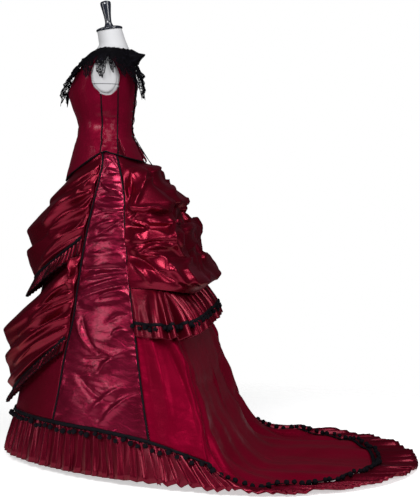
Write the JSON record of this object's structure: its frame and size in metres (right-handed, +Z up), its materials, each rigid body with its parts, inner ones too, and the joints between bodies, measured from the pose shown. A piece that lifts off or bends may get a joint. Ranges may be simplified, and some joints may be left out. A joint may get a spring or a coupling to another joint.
{
  "type": "victorian gown on a dress form",
  "caption": "Bustled ball gown with swagged aprons, pleated ruffles, lace collar, pompom trim and a long train, resting on a limbless dress form with a pole stand.",
  "frame": {"origin": "floor point under the axis of the form's pole, at the centre of the round base's underside", "axes": "+Z up along the pole, -Y towards the front of the gown, +X towards the wearer's left, and the train runs to +Y"},
  "size_m": [0.9502, 1.4169, 1.5408],
  "materials": {
    "wine_taffeta": "satin",
    "black_trim": "matte",
    "black_lace": "matte",
    "form_cloth": "matte",
    "cap_gloss": "gloss",
    "stand_metal": "satin"
  },
  "bodies": {
    "root": {"form_torso": "form_cloth", "form_neck_cap": "cap_gloss", "form_finial": "cap_gloss", "form_socket": "stand_metal", "form_pole": "stand_metal", "form_base": "stand_metal", "form_arm_plate_left": "form_cloth", "form_arm_plate_right": "form_cloth", "bodice_front": "wine_taffeta", "bodice_back_left": "wine_taffeta", "bodice_side_left": "wine_taffeta", "bodice_inset_left": "wine_taffeta", "bodice_piping_front_left": "black_trim", "bodice_piping_back_left": "black_trim", "bodice_back_right": "wine_taffeta", "bodice_side_right": "wine_taffeta", "bodice_inset_right": "wine_taffeta", "bodice_piping_front_right": "black_trim", "bodice_piping_back_right": "black_trim", "bodice_edging_front": "black_trim", "bodice_edging_left": "black_trim", "bodice_edging_right": "black_trim", "bodice_placket": "black_trim", "bodice_lacing": "black_trim", "skirt_front": "wine_taffeta", "skirt_side_left": "wine_taffeta", "skirt_train_left": "wine_taffeta", "skirt_piping_front_left": "black_trim", "skirt_piping_back_left": "black_trim", "skirt_side_right": "wine_taffeta", "skirt_train_right": "wine_taffeta", "skirt_piping_front_right": "black_trim", "skirt_piping_back_right": "black_trim", "hem_flounce_front": "wine_taffeta", "hem_flounce_left": "wine_taffeta", "hem_flounce_train_left": "wine_taffeta", "hem_flounce_right": "wine_taffeta", "hem_flounce_train_right": "wine_taffeta", "hem_pompom_trim": "black_trim", "apron_upper": "wine_taffeta", "apron_lower": "wine_taffeta", "apron_upper_ruffle": "wine_taffeta", "apron_upper_braid": "black_trim", "apron_lower_ruffle": "wine_taffeta", "apron_lower_braid": "black_trim", "bustle": "wine_taffeta", "back_flounce": "wine_taffeta", "back_flounce_pompom_trim": "black_trim", "lace_collar_left": "black_lace", "lace_collar_right": "black_lace", "lacing_end_left": "black_trim", "lacing_end_right": "black_trim"}
  },
  "joints": []
}
